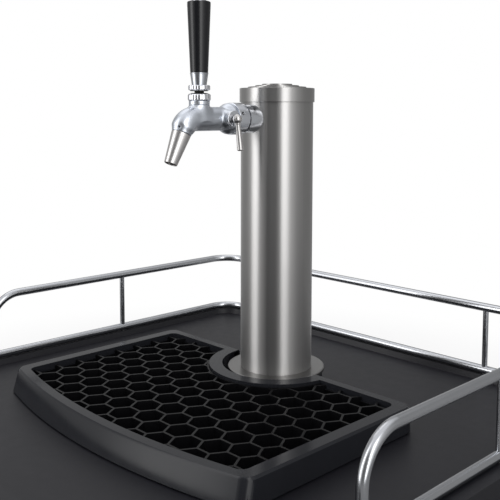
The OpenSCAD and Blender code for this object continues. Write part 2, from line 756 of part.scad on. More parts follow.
// flow control
module flow_collar() color("#c9ccd0") at_flow() translate([housing_x, 0, 0]) rotate([0, 90, 0])
    ring(flow_collar_r, flow_collar_bore_r, flow_collar_t);
module stem_seal() color("#1b1b1c") at_flow() translate([housing_x - gland_depth + gland_ring_r, 0, 0])
    rotate([0, 90, 0]) torus(flow_stem_r + fit + gland_ring_r, gland_ring_r);
module flow_lever() color("#b7aea6") at_flow() {
    translate([ball_x, 0, 0]) sphere(r = flow_ball_r);
    translate([flow_stem_end, 0, 0]) rotate([0, 90, 0])
        cylinder(r = flow_stem_r, h = ball_x - flow_stem_end);
    rotate([pin_angle, 0, 0]) translate([pin_end, 0, -pin_throw]) rotate([0, 90, 0])
        cylinder(r = pin_r, h = flow_stem_end - pin_end + over);
    translate([ball_x, 0, 0]) rotate([stick_tilt, 0, 0]) {
        translate([0, 0, -stick_len + stick_end_r])
            cylinder(r1 = stick_end_r, r2 = stick_top_r, h = stick_len - stick_end_r);
        translate([0, 0, -stick_len + stick_end_r]) sphere(r = stick_end_r);
    }
}
module flow_cone() color("#8d8f92") at_tap() difference() {
    union() {
        taper(cone_tip_r, cone_r, cone_back, cone_taper);
        rod(cone_r, cone_taper, cone_front);
    }
    for (a = [45 : 90 : 315])
        rotate([0, a, 0]) translate([cone_r, 0, 0]) rod(flute_r, cone_back - over, cone_front + over);
    translate([0, -flow_out + pin_throw*sin(pin_angle), -pin_throw])
        translate([pin_end - slip, -pin_r - slip, -pin_r - slip])
            cube([cone_r - pin_end + slip, 2*pin_r + 2*slip, 2*pin_r + pin_throw + 2*slip]);
    translate([flow_stem_end - slip, -flow_out - flow_stem_r - slip, -flow_stem_r - slip])
        cube([cone_r, 2*flow_stem_r + cone_travel + 2*slip, 2*flow_stem_r + 2*slip]);
}

// valve
module plunger() color("#b9bbbe") at_tap() difference() {
    union() {
        rod(plunger_r, plunger_back, plunger_front);
        rod(plunger_head_r, plunger_front - plunger_head_t, plunger_front);
    }
    translate([-slot_half_x, -neck_out - arm_tip_r - slip, -slot_low])
        cube([2*slot_half_x, 2*arm_tip_r + 2*slip, plunger_head_r + slot_low + over]);
    translate([-slot_half_x, -neck_out - slot_wide, slot_step])
        cube([2*slot_half_x, 2*slot_wide, plunger_head_r + over]);
    translate([0, -plunger_front, 0]) rotate([90, 0, 0]) torus(plunger_r, plunger_ring_r);
}
module plunger_seal() color("#1b1b1c") at_tap() translate([0, -plunger_front, 0])
    rotate([90, 0, 0]) torus(plunger_r, plunger_ring_r - fit);
module ball_washer() color("#e6e3da") at_pivot() difference() {
    translate([0, 0, -seat_ring_low]) ring(seat_ring_r, seat_ring_hole_r, seat_ring_low - seat_ring_high);
    sphere(r = ball_r + ball_gap);
}
module ball_stem() color("#b9bbbe") at_pivot() {
    sphere(r = ball_r);
    translate([0, 0, -pivot_h]) cylinder(r = arm_r, h = pivot_h);
    translate([0, 0, -pivot_h]) sphere(r = arm_tip_r);
    cylinder(r = stem_r, h = stem_thread_from);
    translate([0, 0, stem_thread_from])
        cylinder(r = stem_thread_r, h = stem_end_h - stem_thread_from);
}
module friction_ring() color("#1b1b1c") at_pivot() difference() {
    translate([0, 0, grip_ring_low]) ring(seat_ring_r, grip_ring_hole_r, grip_ring_high - grip_ring_low);
    sphere(r = ball_r + ball_gap);
}
module bonnet_nut() color("#c9ccd0") at_pivot() difference() {
    rotate_extrude() polygon([[0, neck_h + neck_ring_h - pivot_h], [bonnet_r, neck_h + neck_ring_h - pivot_h],
        [bonnet_r, bonnet_edge_h], [bonnet_top_r, bonnet_top_h], [0, bonnet_top_h]]);
    translate([0, 0, neck_h + neck_ring_h - pivot_h - over])
        cylinder(r = neck_thread_r + fit, h = grip_ring_high + pivot_h - neck_h - neck_ring_h + over);
    cylinder(r = bonnet_hole_r, h = bonnet_top_h + over);
}
module lever_boot() color("#141415") at_pivot() difference() {
    union() {
        translate([0, 0, boot_low]) cylinder(r = boot_r, h = boot_top - boot_low);
        translate([0, 0, boot_disc_low]) cylinder(r = boot_disc_r, h = boot_top - boot_disc_low);
    }
    sphere(r = ball_r + fit);
    cylinder(r = stem_r + fit, h = boot_top + over);
    translate([0, 0, stem_thread_from]) cylinder(r = stem_thread_r + fit, h = over);
}
module lever_nut() color("#c9ccd0") at_pivot() translate([0, 0, boot_top])
    ring(lever_nut_r, stem_thread_r + fit, lever_nut_h);
module ferrule() color("#c9ccd0") at_pivot() translate([0, 0, boot_top + lever_nut_h]) difference() {
    cylinder(r1 = ferrule_foot_r, r2 = ferrule_top_r, h = ferrule_len);
    translate([0, 0, -over]) cylinder(r = stem_thread_r + fit, h = ferrule_len + 2*over);
}

// handle
module at_grip() at_pivot() translate([0, 0, boot_top + lever_nut_h + ferrule_len]) children();
module handle() color("#1a1a1b") at_grip() difference() {
    cylinder(r1 = grip_foot_r, r2 = grip_top_r, h = grip_len);
    translate([0, 0, -over]) cylinder(r = insert_r + fit, h = insert_len + over);
    translate([0, 0, grip_len - button_depth]) cylinder(r = button_r + fit, h = button_depth + over);
}
module handle_insert() color("#b58a3c") at_grip() ring(insert_r, stem_thread_r + fit, insert_len);
module handle_button() color("#c9ccd0") at_grip() translate([0, 0, grip_len - button_depth])
    cylinder(r = button_r, h = button_depth + button_h);

worktop();
rail_upper();
rail_lower();
rail_posts();
rail_studs();
rail_washers();
rail_nuts();
drip_tray();
drip_grid();
tray_feet();
tower_gasket();
tower_flange();
tower_studs();
back_plate();
tower_washers();
tower_nuts();
tower_column();
tower_foam();
tower_cap();
cap_seal();
shank();
shank_collar();
shank_washer();
shank_nut();
tail_washer();
tail_elbow();
tail_nut();
beer_line();
line_clamps();
line_union();
line_grommet();
faucet_washer();
coupling_nut();
faucet_body();
spout();
spout_ring();
flow_collar();
stem_seal();
flow_lever();
flow_cone();
plunger();
plunger_seal();
ball_washer();
ball_stem();
friction_ring();
bonnet_nut();
lever_boot();
lever_nut();
ferrule();
handle();
handle_insert();
handle_button();
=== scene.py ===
"""Looks of the beer tap tower: studio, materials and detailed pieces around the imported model.

The frame and Blender use metres, +Z up, and the part's front looks towards -Y. The sizes of the pieces are in
millimetres, and MM turns them into metres.
"""

import json
import math

import bmesh
import bpy
import numpy as np
from mathutils import Matrix, Vector


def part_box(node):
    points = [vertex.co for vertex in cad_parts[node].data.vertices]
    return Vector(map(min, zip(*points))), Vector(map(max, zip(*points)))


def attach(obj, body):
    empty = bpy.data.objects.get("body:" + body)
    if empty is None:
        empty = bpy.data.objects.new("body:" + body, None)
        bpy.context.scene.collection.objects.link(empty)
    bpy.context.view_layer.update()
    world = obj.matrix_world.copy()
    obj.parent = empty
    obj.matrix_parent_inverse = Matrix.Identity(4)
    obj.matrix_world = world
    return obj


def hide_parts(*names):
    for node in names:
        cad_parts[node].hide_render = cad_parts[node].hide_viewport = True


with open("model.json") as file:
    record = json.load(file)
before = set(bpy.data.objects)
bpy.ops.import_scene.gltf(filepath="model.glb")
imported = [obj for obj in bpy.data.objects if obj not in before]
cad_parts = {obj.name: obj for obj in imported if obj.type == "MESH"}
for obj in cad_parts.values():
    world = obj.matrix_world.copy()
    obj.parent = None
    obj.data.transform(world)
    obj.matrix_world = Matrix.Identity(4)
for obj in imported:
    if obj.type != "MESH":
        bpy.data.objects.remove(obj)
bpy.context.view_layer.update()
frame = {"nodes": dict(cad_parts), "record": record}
nodes = frame["nodes"]

MM = 0.001
WHITE = (1, 1, 1, 1)

# camera, worked out from the photograph's rails, column and tray
CAMERA_PLACE = Vector((0.5745, -0.5148, 0.32685))
CAMERA_AZIMUTH = math.radians(46.06)  # from the part's front towards its right
CAMERA_PITCH = math.radians(4.77)  # downwards
CAMERA_ROLL = math.radians(0.09)
SENSOR_WIDTH = 36
LENS = 56.22
LENS_SHIFT = (0.0012, -0.1455)
CLIP_NEAR = 0.01
CLIP_FAR = 100

# light tent: the angle round the object in degrees, from the camera's side towards the right, and the brightness of
# the panel there
PANELS = ((-180, 0.5), (-160, 0.55), (-140, 0.4), (-112, 0.45), (-94, 0.9), (-80, 3.3), (-68, 3.3), (-58, 0.9),
          (-42, 0.45), (-31, 0.1), (-18, 0.2), (-3, 0.18), (9, 0.4), (17, 3.0), (28, 3.0), (44, 1.2), (64, 0.6),
          (90, 0.35), (125, 0.3), (160, 0.32), (180, 0.5))
TENT_STRENGTH = 3.4  # the brightness that white stands for in the tent's colours
OVERHEAD_COLOUR = (0.3, 0.3, 0.305, 1)
OVERHEAD_RANGE = (0.55, 0.95)  # the height, as a share, over which the panels turn into the ceiling

# lamps: name, place and side of the square, in metres
LAMPS = (("key", (-0.9, 0.3, 1.6), 1.2), ("fill", (1.4, -0.6, 1.2), 1.0))
LAMP_AIM = (0, 0, 0.1)
LAMP_WATTS = 2.5

# floor, in metres from its middle
FLOOR_REACH = 0.75
FLOOR_SIDES = 64
FLOOR_FADE = (0.38, 0.58)  # where the camera's floor turns into the white backdrop
FLOOR_FADE_LEAST = 0.75  # the backdrop's share in the middle
FLOOR_SEEN = 0.8  # the floor's grey for the camera
FLOOR_DULL = 0.3  # and for the light that it throws back on the object


# shader nodes
def feed(tree, socket, value):
    """A socket gets a link where the value is a socket too, and otherwise the value itself."""
    if isinstance(value, bpy.types.NodeSocket):
        tree.links.new(value, socket)
    else:
        socket.default_value = value


def math_node(tree, operation, *values):
    node = tree.nodes.new("ShaderNodeMath")
    node.operation = operation
    for socket, value in zip(node.inputs, values):
        feed(tree, socket, value)
    return node.outputs[0]


def map_range(tree, value, span=(0, 1), result=(0, 1), smooth=False):
    node = tree.nodes.new("ShaderNodeMapRange")
    if smooth:
        node.interpolation_type = "SMOOTHSTEP"
    feed(tree, node.inputs["Value"], value)
    node.inputs["From Min"].default_value, node.inputs["From Max"].default_value = span
    node.inputs["To Min"].default_value, node.inputs["To Max"].default_value = result
    return node.outputs[0]


def mix_colours(tree, share, first, second):
    node = tree.nodes.new("ShaderNodeMix")
    node.data_type = "RGBA"
    for name, value in (("Factor", share), ("A", first), ("B", second)):
        feed(tree, node.inputs[name], value)
    return node.outputs["Result"]


def mix_shaders(tree, share, first, second):
    node = tree.nodes.new("ShaderNodeMixShader")
    for socket, value in zip(node.inputs, (share, first, second)):
        feed(tree, socket, value)
    return node.outputs[0]


def plain_shader(tree, kind, colour, strength=None):
    node = tree.nodes.new(kind)
    node.inputs["Color"].default_value = colour
    if strength is not None:
        node.inputs["Strength"].default_value = strength
    return node.outputs[0]


def show(obj):
    bpy.context.scene.collection.objects.link(obj)
    return obj


# studio
def make_camera():
    data = bpy.data.cameras.new("camera")
    data.sensor_width = SENSOR_WIDTH
    data.lens = LENS
    data.shift_x, data.shift_y = LENS_SHIFT
    data.clip_start = CLIP_NEAR
    data.clip_end = CLIP_FAR
    obj = show(bpy.data.objects.new("camera", data))
    level = math.cos(CAMERA_PITCH)
    forward = Vector((-math.sin(CAMERA_AZIMUTH)*level, math.cos(CAMERA_AZIMUTH)*level, -math.sin(CAMERA_PITCH)))
    right = Vector((math.cos(CAMERA_AZIMUTH), math.sin(CAMERA_AZIMUTH), 0))
    up = right.cross(forward)
    side = right*math.cos(CAMERA_ROLL) + up*math.sin(CAMERA_ROLL)
    top = up*math.cos(CAMERA_ROLL) - right*math.sin(CAMERA_ROLL)
    turn = Matrix((side, top, -forward)).transposed()
    obj.matrix_world = Matrix.Translation(CAMERA_PLACE) @ turn.to_4x4()
    bpy.context.scene.camera = obj


def make_world():
    """A light tent: bright and dark panels round the object, and plain white for the camera."""
    world = bpy.data.worlds.new("studio")
    bpy.context.scene.world = world
    world.use_nodes = True
    tree = world.node_tree
    tree.nodes.clear()
    new = tree.nodes.new
    direction = new("ShaderNodeSeparateXYZ")
    feed(tree, direction.inputs[0], new("ShaderNodeTexCoord").outputs["Generated"])
    angle = math_node(tree, "ARCTAN2", direction.outputs["Y"], direction.outputs["X"])
    angle = math_node(tree, "ADD", angle, math.pi/2 - CAMERA_AZIMUTH)
    angle = math_node(tree, "WRAP", angle, math.pi, -math.pi)
    ramp = new("ShaderNodeValToRGB")
    stops = ramp.color_ramp.elements
    for k, (degrees, level) in enumerate(PANELS):
        at = (degrees + 180)/360
        if k < 2:  # a new ramp has two stops
            stop = stops[k]
            stop.position = at
        else:
            stop = stops.new(at)
        stop.color = (*[level/TENT_STRENGTH]*3, 1)
    feed(tree, ramp.inputs[0], map_range(tree, angle, (-math.pi, math.pi)))
    ceiling = map_range(tree, direction.outputs["Z"], OVERHEAD_RANGE, smooth=True)
    tent = new("ShaderNodeBackground")
    tent.inputs["Strength"].default_value = TENT_STRENGTH
    feed(tree, tent.inputs["Color"], mix_colours(tree, ceiling, ramp.outputs["Color"], OVERHEAD_COLOUR))
    plain = plain_shader(tree, "ShaderNodeBackground", WHITE, 1)
    camera_ray = new("ShaderNodeLightPath").outputs["Is Camera Ray"]
    out = new("ShaderNodeOutputWorld")
    feed(tree, out.inputs["Surface"], mix_shaders(tree, camera_ray, tent.outputs[0], plain))


def make_floor():
    """A pale floor that keeps the shadow near the object and turns into the plain white backdrop further out."""
    mesh = bpy.data.meshes.new("floor")
    angles = [2*math.pi*k/FLOOR_SIDES for k in range(FLOOR_SIDES)]
    mesh.from_pydata([(FLOOR_REACH*math.cos(a), FLOOR_REACH*math.sin(a), 0) for a in angles], [],
                     [tuple(range(FLOOR_SIDES))])
    obj = show(bpy.data.objects.new("floor", mesh))
    mat = bpy.data.materials.new("floor")
    mat.use_nodes = True
    tree = mat.node_tree
    tree.nodes.clear()
    new = tree.nodes.new
    away = new("ShaderNodeVectorMath")
    away.operation = "LENGTH"
    feed(tree, away.inputs[0], new("ShaderNodeTexCoord").outputs["Object"])
    fade = map_range(tree, away.outputs["Value"], FLOOR_FADE, (FLOOR_FADE_LEAST, 1), smooth=True)
    camera_ray = new("ShaderNodeLightPath").outputs["Is Camera Ray"]
    seen = plain_shader(tree, "ShaderNodeBsdfDiffuse", (*[FLOOR_SEEN]*3, 1))
    dull = plain_shader(tree, "ShaderNodeBsdfDiffuse", (*[FLOOR_DULL]*3, 1))
    white = plain_shader(tree, "ShaderNodeEmission", WHITE, 1)
    floor = mix_shaders(tree, camera_ray, dull, seen)
    out = new("ShaderNodeOutputMaterial")
    feed(tree, out.inputs["Surface"],
         mix_shaders(tree, math_node(tree, "MULTIPLY", camera_ray, fade), floor, white))
    mesh.materials.append(mat)


def make_lamp(name, place, side):
    data = bpy.data.lights.new(name, "AREA")
    data.shape = "RECTANGLE"
    data.size = data.size_y = side
    data.energy = LAMP_WATTS
    obj = show(bpy.data.objects.new(name, data))
    obj.location = place
    obj.rotation_euler = (Vector(LAMP_AIM) - Vector(place)).to_track_quat("-Z", "Y").to_euler()


# materials
NOISE_DETAIL = 4
RELIEF_DETAIL = 3
RELIEF_DEPTH = 0.0002  # metres
LEAST_ROUGH = 0.02


def finish(name, colour, rough, metal=0.0, change=0.06, rough_change=0.05, grain=400.0, bump=0.0,
           bump_grain=1500.0, stretch=(1, 1, 1), specular=0.5, anisotropic=0.0, spread_turn=0.0):
    """A surface whose colour, roughness and relief vary with fine noise in the object's own space."""
    mat = bpy.data.materials.new(name)
    mat.use_nodes = True
    tree = mat.node_tree
    new = tree.nodes.new
    shader = tree.nodes["Principled BSDF"]
    shader.inputs["Metallic"].default_value = metal
    shader.inputs["Specular IOR Level"].default_value = specular
    fit = new("ShaderNodeMapping")
    fit.inputs["Scale"].default_value = stretch
    feed(tree, fit.inputs["Vector"], new("ShaderNodeTexCoord").outputs["Object"])

    def noise(scale, detail):
        node = new("ShaderNodeTexNoise")
        node.inputs["Scale"].default_value = scale
        node.inputs["Detail"].default_value = detail
        feed(tree, node.inputs["Vector"], fit.outputs[0])
        return node.outputs["Fac"]

    speckle = noise(grain, NOISE_DETAIL)
    darker = (*[c*(1 - change) for c in colour], 1)
    lighter = (*[min(1, c*(1 + change)) for c in colour], 1)
    feed(tree, shader.inputs["Base Color"], mix_colours(tree, speckle, darker, lighter))
    rough_range = (max(LEAST_ROUGH, rough - rough_change), rough + rough_change)
    feed(tree, shader.inputs["Roughness"], map_range(tree, speckle, result=rough_range))
    if bump:
        relief = new("ShaderNodeBump")
        relief.inputs["Strength"].default_value = bump
        relief.inputs["Distance"].default_value = RELIEF_DEPTH
        feed(tree, relief.inputs["Height"], noise(bump_grain, RELIEF_DETAIL))
        feed(tree, shader.inputs["Normal"], relief.outputs[0])
    if anisotropic:
        shader.inputs["Anisotropic"].default_value = anisotropic
        shader.inputs["Anisotropic Rotation"].default_value = spread_turn
        tangent = new("ShaderNodeTangent")
        tangent.direction_type = "RADIAL"
        tangent.axis = "Z"
        feed(tree, shader.inputs["Tangent"], tangent.outputs[0])
    return mat


def srgb(*levels):
    """Linear values of a colour that is written in sRGB levels from 0 to 255."""
    return [((v/255 + 0.055)/1.055)**2.4 if v/255 > 0.04045 else v/255/12.92 for v in levels]


FINISHES = {
    "black_top": dict(colour=srgb(26, 26, 31), rough=0.44, specular=0.29, change=0.05, grain=90, bump=0.12,
                      bump_grain=2600),
    "tray_plastic": dict(colour=srgb(34, 35, 39), rough=0.17, specular=0.22, change=0.08, grain=60, bump=0.03,
                         bump_grain=1800),
    "grid_plastic": dict(colour=srgb(12, 12, 14), rough=0.35, specular=0.14, change=0.1, grain=300, bump=0.05),
    "rail_chrome": dict(colour=srgb(190, 192, 196), rough=0.2, metal=1, change=0.02, rough_change=0.03, grain=150),
    "tower_steel": dict(colour=srgb(176, 175, 174), rough=0.34, metal=1, change=0.035, rough_change=0.02,
                        grain=1200, stretch=(1, 1, 0.006), bump=0.02, bump_grain=2200, anisotropic=1,
                        spread_turn=0.25),
    "tap_chrome": dict(colour=srgb(222, 225, 231), rough=0.18, metal=1, change=0.03, rough_change=0.04, grain=250,
                       bump=0.03, bump_grain=900),
    "ferrule_chrome": dict(colour=srgb(184, 187, 193), rough=0.18, metal=1, change=0.03, rough_change=0.04,
                           grain=250, bump=0.03, bump_grain=900),
    "flange_steel": dict(colour=srgb(142, 141, 140), rough=0.3, metal=1, change=0.035, rough_change=0.02,
                         grain=1200, bump=0.02, bump_grain=2200),
    "tap_steel": dict(colour=srgb(203, 201, 200), rough=0.29, metal=1, change=0.06, grain=900, bump=0.05),
    "tap_casting": dict(colour=srgb(204, 209, 217), rough=0.31, metal=1, change=0.04, rough_change=0.06, grain=180,
                        bump=0.05, bump_grain=700),
    "tap_knurled": dict(colour=srgb(222, 223, 228), rough=0.25, metal=1, change=0.03, rough_change=0.05, grain=500,
                        bump=0.05),
    "fastener_steel": dict(colour=srgb(170, 171, 172), rough=0.35, metal=1, grain=500, bump=0.05),
    "black_rubber": dict(colour=srgb(24, 24, 25), rough=0.7, change=0.15, grain=800, bump=0.15),
    "grip_black": dict(colour=srgb(13, 14, 18), rough=0.22, change=0.1, grain=200, specular=0.45),
    "insert_brass": dict(colour=srgb(190, 155, 90), rough=0.25, metal=1, grain=600),
    "white_plastic": dict(colour=srgb(225, 223, 216), rough=0.4, grain=400),
    "foam": dict(colour=srgb(220, 215, 200), rough=0.9, change=0.15, grain=900, bump=0.6, bump_grain=700),
    "line_vinyl": dict(colour=srgb(215, 212, 202), rough=0.3, grain=200),
}
materials = {name: finish(name, **values) for name, values in FINISHES.items()}

# nodes whose finish differs from the one that their material slot names
OWN_FINISH = {"tower_flange": "flange_steel", "faucet_body": "tap_casting", "bonnet_nut": "tap_knurled",
              "lever_nut": "tap_knurled", "ferrule": "ferrule_chrome"}


def dress(obj, node, slot):
    obj.data.materials.clear()
    obj.data.materials.append(materials[OWN_FINISH.get(node, slot)])


def dress_cad():
    slots = {s["node"]: s["material_slot"] for s in frame["record"]["subparts"]}
    for name, obj in nodes.items():
        dress(obj, name, slots[name])


def hand_over(obj, body, node, slot):
    """A finished piece: it rides on a body, stands for a CAD node and takes its material."""
    dress(obj, node, slot)
    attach(obj, body)
    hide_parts(node)


# mesh tools
CORNER_STEPS = 5
SIDE_SHARE = 0.48  # how much of a side one rounded corner may take
ON_AXIS = 1e-6  # a radius below this is a point on the axis


def place_mesh(name, points, faces, place=Matrix()):
    """A smooth-shaded object from points in millimetres, put in place by a matrix in metres."""
    mesh = bpy.data.meshes.new(name)
    mesh.from_pydata([place @ (Vector(p)*MM) for p in points], [], faces)
    mesh.validate()
    for face in mesh.polygons:
        face.use_smooth = True
    return show(bpy.data.objects.new(name, mesh))


def soften(corners, closed):
    """Rounds a profile of (radius, height, corner radius). The ends of an open one stay sharp."""
    count = len(corners)
    soft = []
    for k, (*here, rounding) in enumerate(corners):
        here = Vector(here)
        if rounding <= 0 or (not closed and k in (0, count - 1)):
            soft.append(tuple(here))
            continue
        to_last = Vector(corners[k - 1][:2]) - here
        to_next = Vector(corners[(k + 1) % count][:2]) - here
        half = to_last.angle(to_next)/2
        reach = min(rounding/math.tan(half), SIDE_SHARE*to_last.length, SIDE_SHARE*to_next.length)
        r = reach*math.tan(half)
        middle = here + (to_last.normalized() + to_next.normalized()).normalized()*(r/math.sin(half))
        start = here + to_last.normalized()*reach - middle
        turn = start.angle_signed(here + to_next.normalized()*reach - middle)
        for i in range(CORNER_STEPS + 1):
            a = -turn*i/CORNER_STEPS
            soft.append((middle.x + start.x*math.cos(a) - start.y*math.sin(a),
                         middle.y + start.x*math.sin(a) + start.y*math.cos(a)))
    return soft


def lathe(name, profile, place, closed=False, steps=96, shape=None):
    """Turns a profile of (radius, height) round the local Z axis. shape(radius, angle) changes a radius."""
    points = []
    rows = []
    for r, h in profile:
        if r < ON_AXIS:
            rows.append([len(points)])
            points.append((0, 0, h))
            continue
        rows.append([len(points) + i for i in range(steps)])
        for i in range(steps):
            a = 2*math.pi*i/steps
            q = shape(r, a) if shape else r
            points.append((q*math.cos(a), q*math.sin(a), h))
    faces = []
    for k in range(len(rows) if closed else len(rows) - 1):
        low, high = rows[k], rows[(k + 1) % len(rows)]
        for i in range(steps):
            j = (i + 1) % steps
            if len(low) > 1 and len(high) > 1:
                faces.append((low[i], low[j], high[j], high[i]))
            elif len(low) > 1:
                faces.append((low[i], low[j], high[0]))
            elif len(high) > 1:
                faces.append((low[0], high[j], high[i]))
    return outward(place_mesh(name, points, faces, place))


def turned(name, corners, place, closed=True, **more):
    """A turned piece with rounded corners."""
    return lathe(name, soften(corners, closed), place, closed, **more)


def outward(obj):
    """All faces of a new object look outwards."""
    shape = bmesh.new()
    shape.from_mesh(obj.data)
    bmesh.ops.recalc_face_normals(shape, faces=shape.faces)
    shape.to_mesh(obj.data)
    shape.free()
    return obj


def join(first, *others):
    """Puts the meshes of several new objects into the first one."""
    shape = bmesh.new()
    for obj in (first, *others):
        shape.from_mesh(obj.data)
    shape.to_mesh(first.data)
    shape.free()
    for obj in others:
        bpy.data.objects.remove(obj)
    return first


def even_normals(obj):
    """Large faces stay flat in the shading, and the rounded edges take up the turn."""
    obj.modifiers.new("even", "WEIGHTED_NORMAL").keep_sharp = True
    return obj


SEAM = 2e-6  # metres: points of a CAD mesh that lie closer than this are one
FLAT = math.radians(0.5)  # neighbouring faces that turn less than this are one


def copy_node(node, edge, segments, angle):
    """A copy of a CAD node's mesh with its seams closed and its edges rounded."""
    mesh = nodes[node].data.copy()
    shape = bmesh.new()
    shape.from_mesh(mesh)
    bmesh.ops.remove_doubles(shape, verts=shape.verts, dist=SEAM)
    bmesh.ops.dissolve_limit(shape, angle_limit=FLAT, verts=shape.verts, edges=shape.edges)
    for face in shape.faces:
        face.smooth = True
    shape.to_mesh(mesh)
    shape.free()
    obj = show(bpy.data.objects.new(node + "_soft", mesh))
    bevel = obj.modifiers.new("edges", "BEVEL")
    bevel.width = edge*MM
    bevel.segments = segments
    bevel.limit_method = "ANGLE"
    bevel.angle_limit = math.radians(angle)
    bevel.use_clamp_overlap = True
    return even_normals(obj)


# distance fields: negative inside
PULL_ROUNDS = 8
SLOPE_STEP = 0.02  # of a cell
LEAST_SLOPE = 0.2


def field_surface(name, field, low, high, step, place):
    """The surface where a distance field is zero: a net of quads, pulled onto the surface."""
    axes = [np.arange(low[k], high[k] + step, step) for k in range(3)]
    grid = np.stack(np.meshgrid(*axes, indexing="ij"), -1)
    inside = field(grid.reshape(-1, 3)).reshape(grid.shape[:3]) < 0
    cells = inside[:-1, :-1, :-1].astype(int)
    for di in (0, 1):
        for dj in (0, 1):
            for dk in (0, 1):
                if di + dj + dk:
                    cells = cells + inside[di:inside.shape[0] - 1 + di, dj:inside.shape[1] - 1 + dj,
                                           dk:inside.shape[2] - 1 + dk]
    mixed = (cells > 0) & (cells < 8)
    number = np.full(cells.shape, -1)
    number[mixed] = np.arange(mixed.sum())
    points = grid[:-1, :-1, :-1][mixed] + step/2
    small = step*SLOPE_STEP
    for _ in range(PULL_ROUNDS):
        value = field(points)
        slope = np.stack([field(points + small*np.eye(3)[k]) - value for k in range(3)], -1)/small
        size = np.maximum((slope**2).sum(-1), LEAST_SLOPE)
        points = points - np.clip(value/size, -step/2, step/2)[:, None]*slope
    faces = []
    for axis in range(3):
        a, b = [k for k in range(3) if k != axis]
        here = np.moveaxis(inside, (axis, a, b), (0, 1, 2))
        net = np.moveaxis(number, (axis, a, b), (0, 1, 2))
        change = here[:-1, 1:-1, 1:-1] != here[1:, 1:-1, 1:-1]
        i, j, k = np.nonzero(change)
        quad = np.stack([net[i, j, k], net[i, j + 1, k], net[i, j + 1, k + 1], net[i, j, k + 1]], -1)
        flip = here[i, j + 1, k + 1] ^ (axis == 1)
        quad[~flip] = quad[~flip][:, ::-1]
        faces.append(quad)
    faces = np.concatenate(faces)
    faces = faces[(faces >= 0).all(1)]
    return outward(place_mesh(name, points.tolist(), faces.tolist(), place))


def smooth_union(a, b, blend):
    h = np.clip(0.5 + 0.5*(b - a)/blend, 0, 1)
    return b*(1 - h) + a*h - blend*h*(1 - h)


def smooth_cut(a, b, blend):
    return -smooth_union(-a, -b, blend)


def eased(value, knots):
    """A value that glides from one (place, size) pair to the next."""
    result = np.full(value.shape, float(knots[0][1]))
    for (x0, y0), (x1, y1) in zip(knots, knots[1:]):
        t = np.clip((value - x0)/(x1 - x0), 0, 1)
        result = np.where(value > x0, y0 + (y1 - y0)*t*t*(3 - 2*t), result)
    return result


def rod_distance(p, centre, axis, r_low, r_high, low, high, edge):
    """Distance to a tapered rod round an axis, with softened ends."""
    q = p - np.array(centre)
    h = q @ np.array(axis)
    r = np.sqrt(np.maximum((q**2).sum(1) - h**2, 0))
    size = r_low + (r_high - r_low)*np.clip((h - low)/(high - low), 0, 1)
    return smooth_cut(r - size, np.abs(h - (low + high)/2) - (high - low)/2, edge)


# places read from the frame
def heights(node):
    """The low and the high end of a node above the floor, in millimetres."""
    low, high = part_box(node)
    return low[2]/MM, high[2]/MM


def radius_of(node):
    low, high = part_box(node)
    return (high[0] - low[0])/2/MM


def outs(node):
    """How far a node reaches from the tower's axis, near end and far end, in millimetres."""
    low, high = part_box(node)
    return (tower_axis.y - high[1])/MM, (tower_axis.y - low[1])/MM


def centre_of(node):
    low, high = (Vector(c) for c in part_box(node))
    return (low + high)/2


tower_axis = centre_of("tower_column")
tap_height = centre_of("shank").z
neck_out = (tower_axis.y - centre_of("ball_stem").y)/MM

# matrices: the faucet's axis where it meets the tower's, the same with Z along the faucet, the neck's axis from the
# floor up, and the flow control's axis
tap_place = Matrix.Translation((tower_axis.x, tower_axis.y, tap_height))
along = tap_place @ Matrix.Rotation(math.pi/2, 4, "X")
upright = Matrix.Translation((tower_axis.x, tower_axis.y - neck_out*MM, 0))

# sizes of the faucet
BARREL_R = 11.6
ROOT_R = 14.2  # where the casting comes out of the coupling nut
SHOULDER = ((0.9, 15.1), (3, 15.3))  # distance from the nut, and radius there
SHOULDER_LEN = 12.5
BEER_R = 5.6
SPOUT_TOP_R = 9.4
SPOUT_TIP_R = 6.3
SPOUT_BORE_R = 5.25
SPOUT_TILT = math.radians(24.6)
SPOUT_LEN = 30.8
SPIGOT_R = 6.4
SPIGOT_LEN = 7.5
JOINT_OUT = 129.5  # the joint of the spout, from the tower's axis
JOINT_DROP = 13.8  # and below the faucet's axis
JOINT_GAP = 0.15
CONE_LEN = 6.5
BEND = math.pi/2 - SPOUT_TILT
BEND_R = (JOINT_DROP - CONE_LEN*math.cos(SPOUT_TILT))/(1 - math.cos(BEND))
BEND_START = JOINT_OUT - CONE_LEN*math.sin(SPOUT_TILT) - BEND_R*math.sin(BEND)
NECK_R = 9.8
NECK_FOOT_R = 10.3
NECK_H = 13.4
NECK_BLEND = 4.5
NECK_BORE_R = 8.2
NECK_BORE_FROM = 11.8
NECK_RING_R = 10.05
NECK_RING_H = 3.8
VALVE_BORE_R = 7.6
VALVE_BORE_END = 0.5  # before the bend
FLOW_OUT = 77.8  # the flow control, from the tower's axis
HOUSING_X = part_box("flow_collar")[0][0]/MM
HOUSING_FROM = 4
HOUSING_FOOT_R = 9.4
HOUSING_R = 8.1
HOUSING_BLEND = 2.5
HOUSING_BORE_R = 5.2
HOUSING_BORE_LEN = 3
VENT_TURN = math.radians(73)
VENT_ROLL = math.radians(32)
VENT_R = 1.3
EDGE = 0.3
BORE_EDGE = 0.2
HOUSING_EDGE = 0.8
MOUTH_EDGE = 0.8
TUBE_BEHIND = 16  # the tubes run on past both ends, which are then cut off
TUBE_BEYOND = 12
BORE_BEYOND = 20
CASTING_CELL = 0.55

flow_place = tap_place @ Matrix.Translation((0, -FLOW_OUT*MM, 0))


